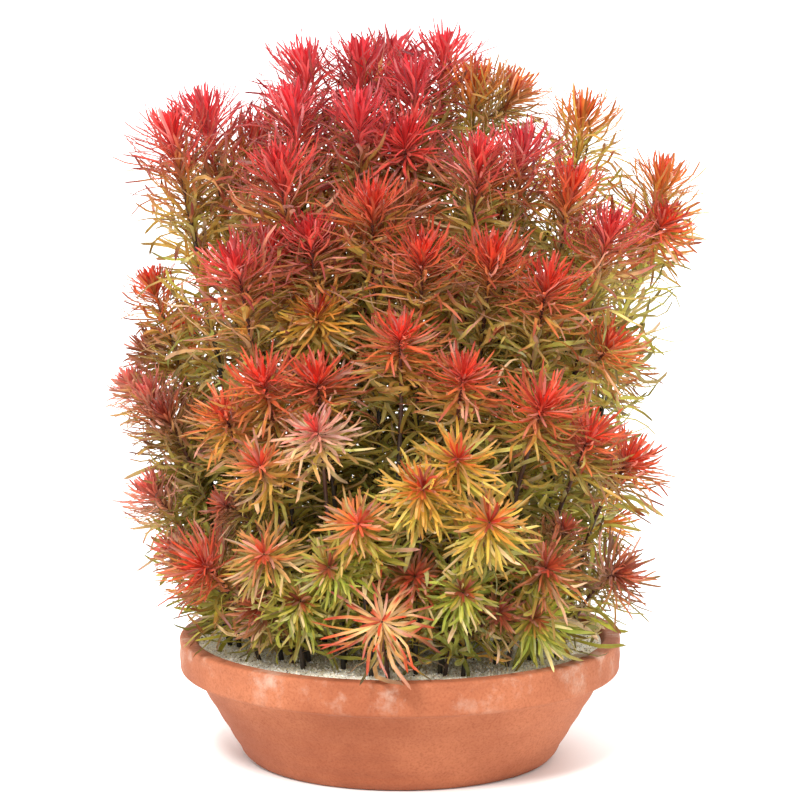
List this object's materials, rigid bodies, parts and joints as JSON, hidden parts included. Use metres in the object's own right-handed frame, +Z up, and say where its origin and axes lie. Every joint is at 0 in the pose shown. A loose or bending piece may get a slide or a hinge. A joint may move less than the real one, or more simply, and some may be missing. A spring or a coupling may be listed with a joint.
{
  "type": "potted aquarium plant",
  "caption": "Dense clump of upright stems with rings of narrow red, orange and yellow-green leaves, rooted in pale sand in a plain low clay pot.",
  "frame": {"origin": "centre of the pot's underside", "axes": "+Z up, -Y towards the clump's front, +X to the right of someone who looks at the front"},
  "size_m": [0.3655, 0.3075, 0.4424],
  "materials": {
    "clay": "matte, unglazed",
    "sand": "matte, loose grains",
    "leaf_pink": "satin leaf",
    "leaf_red": "satin leaf",
    "leaf_orange": "satin leaf",
    "leaf_brown": "satin leaf",
    "leaf_yellow": "satin leaf",
    "leaf_cream": "satin leaf",
    "leaf_green": "satin leaf"
  },
  "bodies": {
    "root": {"pot": "clay", "sand": "sand", "shoot_high_01": "leaf_red", "shoot_high_02": "leaf_pink", "shoot_high_03": "leaf_pink", "shoot_high_04": "leaf_pink", "shoot_high_05": "leaf_pink", "shoot_high_06": "leaf_pink", "shoot_high_07": "leaf_pink", "shoot_high_08": "leaf_pink", "shoot_high_09": "leaf_orange", "shoot_high_10": "leaf_orange", "shoot_high_11": "leaf_red", "shoot_high_12": "leaf_pink", "shoot_high_13": "leaf_red", "shoot_high_14": "leaf_orange", "shoot_high_15": "leaf_red", "shoot_high_16": "leaf_red", "shoot_middle_01": "leaf_red", "shoot_middle_02": "leaf_red", "shoot_middle_03": "leaf_red", "shoot_middle_04": "leaf_red", "shoot_middle_05": "leaf_red", "shoot_middle_06": "leaf_red", "shoot_middle_07": "leaf_red", "shoot_middle_08": "leaf_red", "shoot_middle_09": "leaf_red", "shoot_middle_10": "leaf_red", "shoot_middle_11": "leaf_orange", "shoot_middle_12": "leaf_red", "shoot_middle_13": "leaf_red", "shoot_middle_14": "leaf_red", "shoot_middle_15": "leaf_red", "shoot_middle_16": "leaf_brown", "shoot_middle_17": "leaf_pink", "shoot_low_01": "leaf_pink", "shoot_low_02": "leaf_orange", "shoot_low_03": "leaf_cream", "shoot_low_04": "leaf_yellow", "shoot_low_05": "leaf_yellow", "shoot_low_06": "leaf_yellow", "shoot_low_07": "leaf_orange", "shoot_low_08": "leaf_orange", "shoot_low_09": "leaf_red", "shoot_low_10": "leaf_cream", "shoot_low_11": "leaf_brown", "shoot_low_12": "leaf_green", "shoot_low_13": "leaf_red", "shoot_low_14": "leaf_brown", "shoot_back_01": "leaf_red", "shoot_back_02": "leaf_pink", "shoot_back_03": "leaf_red", "shoot_back_04": "leaf_red", "shoot_back_05": "leaf_red", "shoot_back_06": "leaf_red", "shoot_back_07": "leaf_orange", "shoot_back_08": "leaf_red", "shoot_back_09": "leaf_red", "shoot_back_10": "leaf_orange", "shoot_back_11": "leaf_yellow"}
  },
  "joints": []
}
